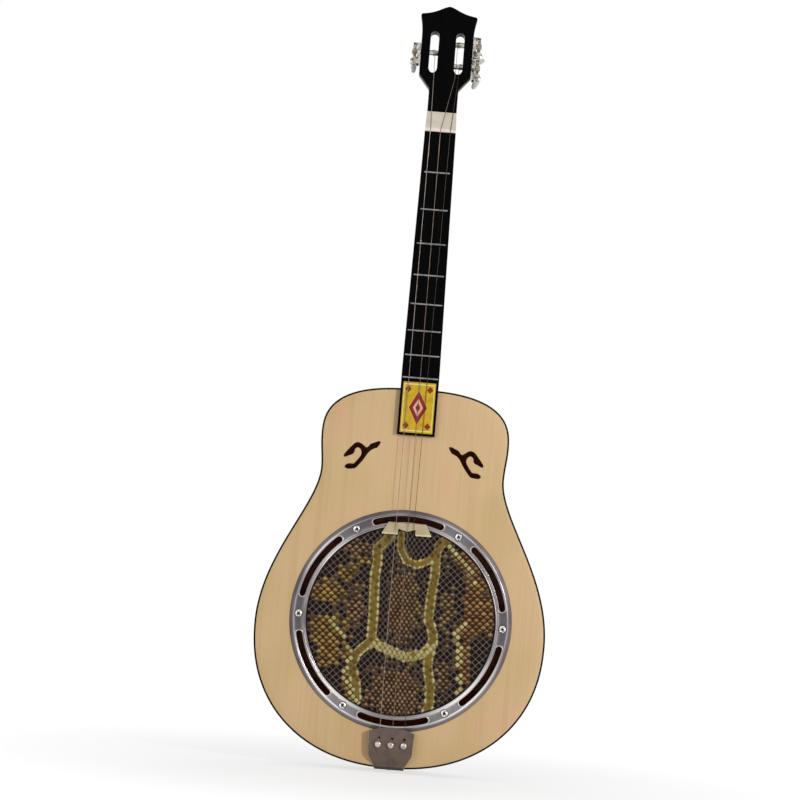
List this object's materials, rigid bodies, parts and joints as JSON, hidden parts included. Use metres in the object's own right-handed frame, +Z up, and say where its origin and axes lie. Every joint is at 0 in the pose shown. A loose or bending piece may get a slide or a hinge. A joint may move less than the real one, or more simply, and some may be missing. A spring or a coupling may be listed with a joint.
{
  "type": "qinqin, a three-string plucked lute",
  "caption": "Plucked lute with a flat waisted body, a snakeskin head in a slotted metal ring, a long fretted neck and a slotted head with worm-geared tuners.",
  "frame": {"origin": "the point where a hanger holds the instrument: inside the peghead's wood, on the centre line just under its shoulders", "axes": "+Z up along the neck towards the peghead, -Y out of the face with the strings, +X to the right as the face is seen from the front"},
  "size_m": [0.379, 0.089, 1.001],
  "materials": {
    "spruce_top": "satin varnish over pale straight-grained wood",
    "black_lacquer": "gloss black lacquer",
    "inner_wood": "bare sanded wood",
    "snake_skin": "stretched scaled skin, slightly glossy",
    "nickel": "nickel plate, pressed and polished",
    "fret_wire": "drawn wire, polished on top",
    "bone": "smooth ivory-coloured bone",
    "yellow_panel": "thin yellow plate, bare",
    "bronzed_tin": "dark bronzed sheet, bright on its cut edge",
    "string_steel": "wound and plain wire",
    "brass_wheel": "cut brass",
    "pearl_button": "pearly white plastic"
  },
  "bodies": {
    "instrument": {"soundboard": "spruce_top", "back_plate": "black_lacquer", "top_binding": "black_lacquer", "back_binding": "black_lacquer", "rim": "black_lacquer", "top_lining": "inner_wood", "back_lining": "inner_wood", "neck_block": "inner_wood", "tail_block": "inner_wood", "top_brace": "inner_wood", "back_brace_1": "inner_wood", "back_brace_2": "inner_wood", "snake_skin": "snake_skin", "skin_hoop": "inner_wood", "cover_ring": "nickel", "ring_screw_1": "nickel", "ring_screw_2": "nickel", "ring_screw_3": "nickel", "ring_screw_4": "nickel", "ring_screw_5": "nickel", "ring_screw_6": "nickel", "neck": "black_lacquer", "fingerboard": "black_lacquer", "fret_1": "fret_wire", "fret_2": "fret_wire", "fret_3": "fret_wire", "fret_4": "fret_wire", "fret_5": "fret_wire", "fret_6": "fret_wire", "fret_7": "fret_wire", "fret_8": "fret_wire", "finger_panel": "yellow_panel", "nut": "bone", "peghead": "black_lacquer", "tuner_plate_1": "nickel", "tuner_plate_2": "nickel", "tuner_plate_3": "nickel", "tailpiece": "bronzed_tin", "string_pin_1": "nickel", "string_pin_2": "nickel", "string_pin_3": "nickel", "tail_screw_1": "nickel", "tail_screw_2": "nickel", "string_1": "string_steel", "string_2": "string_steel", "string_3": "string_steel"},
    "loose_bridge": {"bridge": "bone"},
    "roller_1": {"string_roller_1": "nickel", "tuner_gear_1": "brass_wheel"},
    "roller_2": {"string_roller_2": "nickel", "tuner_gear_2": "brass_wheel"},
    "roller_3": {"string_roller_3": "nickel", "tuner_gear_3": "brass_wheel"},
    "key_1": {"tuner_worm_1": "nickel", "tuner_button_1": "pearl_button"},
    "key_2": {"tuner_worm_2": "nickel", "tuner_button_2": "pearl_button"},
    "key_3": {"tuner_worm_3": "nickel", "tuner_button_3": "pearl_button"}
  },
  "joints": [
    {"name": "bridge_slide", "type": "slide", "parent": "instrument", "child": "loose_bridge", "axis": [0, 0, -1], "range_m": [0, 0.15]},
    {"name": "roller_turn_1", "type": "hinge", "parent": "instrument", "child": "roller_1", "pos_m": [-0.0415, 0.00964, 0.04172], "axis": [1, 0, 0], "continuous": true},
    {"name": "roller_turn_2", "type": "hinge", "parent": "instrument", "child": "roller_2", "pos_m": [0.0415, 0.01257, 0.05439], "axis": [1, 0, 0], "continuous": true},
    {"name": "roller_turn_3", "type": "hinge", "parent": "instrument", "child": "roller_3", "pos_m": [0.0415, 0.00593, 0.02565], "axis": [1, 0, 0], "continuous": true},
    {"name": "key_turn_1", "type": "hinge", "parent": "instrument", "child": "key_1", "pos_m": [-0.0415, 0.00668, 0.02889], "axis": [0, -0.9744, 0.225], "continuous": true},
    {"name": "key_turn_2", "type": "hinge", "parent": "instrument", "child": "key_2", "pos_m": [0.0415, 0.0096, 0.04156], "axis": [0, -0.9744, 0.225], "continuous": true},
    {"name": "key_turn_3", "type": "hinge", "parent": "instrument", "child": "key_3", "pos_m": [0.0415, 0.00297, 0.01282], "axis": [0, -0.9744, 0.225], "continuous": true}
  ],
  "couplings": [
    {"joint": "roller_turn_1", "follows": "key_turn_1", "ratio": -0.071429},
    {"joint": "roller_turn_2", "follows": "key_turn_2", "ratio": 0.071429},
    {"joint": "roller_turn_3", "follows": "key_turn_3", "ratio": 0.071429}
  ]
}
